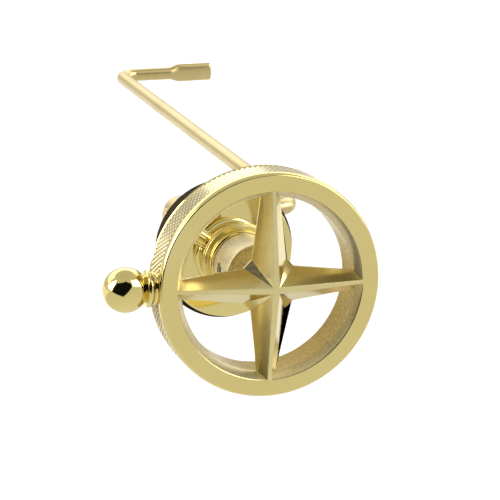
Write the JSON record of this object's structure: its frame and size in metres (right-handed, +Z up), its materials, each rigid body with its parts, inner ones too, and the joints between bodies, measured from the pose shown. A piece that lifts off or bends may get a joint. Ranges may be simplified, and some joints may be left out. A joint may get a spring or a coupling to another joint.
{
  "type": "tank trip lever",
  "caption": "Side-mount tank trip lever: star-spoked knurled wheel with a ball knob, dished escutcheon, threaded shank and a cranked trip arm with a chain hole.",
  "frame": {"origin": "centre of the rubber gasket's back face, on the spindle axis, where the part meets the outside of the tank wall", "axes": "+Y along the spindle into the tank, +X to the right seen from the front, towards the trip arm, +Z up"},
  "size_m": [0.1222, 0.325, 0.0636],
  "materials": {
    "polished_brass": "mirror polished, lacquered",
    "knurled_brass": "polished face, diamond-knurled outside",
    "satin_brass": "satin, drawn and turned",
    "steel": "plain stainless",
    "nylon": "natural nylon",
    "gasket_rubber": "moulded, matt"
  },
  "bodies": {
    "mount": {"escutcheon": "polished_brass", "neck_collar": "polished_brass", "neck_lock_screw": "polished_brass", "threaded_shank": "satin_brass", "front_bush": "nylon", "rear_bush": "nylon", "o_ring": "gasket_rubber", "rubber_gasket": "gasket_rubber", "nut_washer": "satin_brass", "mounting_nut": "satin_brass"},
    "handle": {"wheel_rim": "knurled_brass", "star_spokes": "polished_brass", "star_stud": "steel", "wheel_hub": "polished_brass", "hub_set_screw": "steel", "ball_knob": "polished_brass", "knob_stud": "steel", "spindle": "polished_brass", "thrust_washer": "nylon", "rear_washer": "nylon", "retaining_clip": "steel", "stop_pin": "steel", "arm_holder": "satin_brass", "holder_set_screws": "steel", "trip_arm_crank": "satin_brass", "trip_arm_run": "satin_brass", "trip_arm_hook": "satin_brass"}
  },
  "joints": [
    {"name": "handle_turn", "type": "hinge", "parent": "mount", "child": "handle", "pos_m": [0, 0, 0], "axis": [0, -1, 0], "range_deg": [0, 40]}
  ]
}
